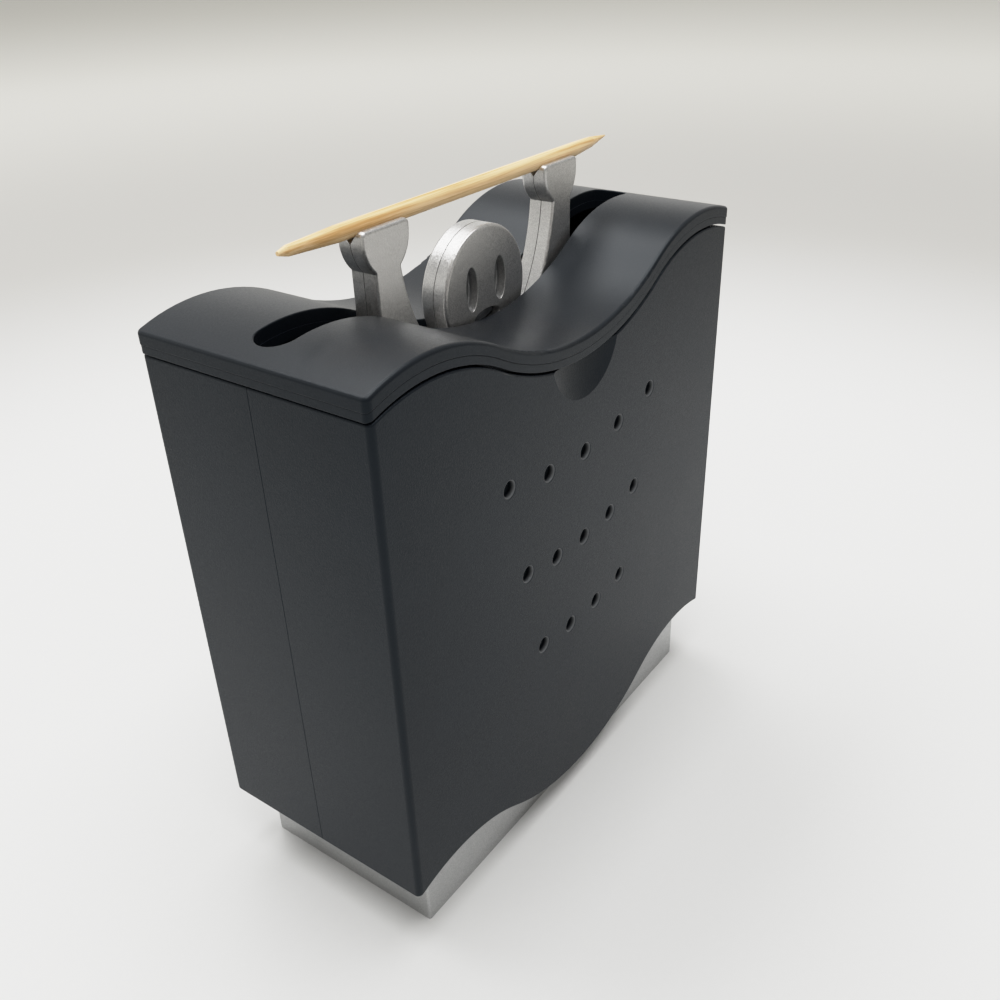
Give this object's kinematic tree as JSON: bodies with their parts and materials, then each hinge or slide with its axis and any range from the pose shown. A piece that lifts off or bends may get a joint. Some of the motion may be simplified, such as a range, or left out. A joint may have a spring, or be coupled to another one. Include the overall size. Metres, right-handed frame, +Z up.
{
  "type": "toothpick holder",
  "caption": "Toothpick holder whose wavy casing lifts over a base, so that a figure fixed to the base brings a single toothpick out of a slotted lid.",
  "frame": {"origin": "on the table, under the middle of the object", "axes": "+X along the wide front, the dimpled front faces -Y, +Z up"},
  "size_m": [0.079, 0.0344, 0.0909],
  "materials": {
    "black_plastic": "charcoal black, fine satin texture",
    "silver_plastic": "silver metallic paint on moulded plastic",
    "steel": "zinc plated",
    "wood": "bare pale wood"
  },
  "bodies": {
    "base": {"base_shell": "silver_plastic", "base_plate": "black_plastic", "base_screws": "steel", "ballast": "steel", "figure_front": "silver_plastic", "figure_rear": "silver_plastic", "figure_screws": "steel"},
    "casing": {"front_shell": "black_plastic", "rear_shell": "black_plastic", "hopper_tray": "black_plastic", "tray_screws": "steel"},
    "lid": {"lid_top": "black_plastic", "lid_frame": "black_plastic"},
    "toothpick": {"toothpick": "wood"}
  },
  "joints": [
    {"name": "casing_lift", "type": "slide", "parent": "base", "child": "casing", "axis": [0, 0, 1], "range_m": [0, 0.035]},
    {"name": "lid_lift_off", "type": "slide", "parent": "casing", "child": "lid", "axis": [0, 0, 1], "range_m": [0, 0.03]},
    {"name": "toothpick_lift_off", "type": "slide", "parent": "base", "child": "toothpick", "axis": [0, 0, 1], "range_m": [0, 0.02]}
  ]
}
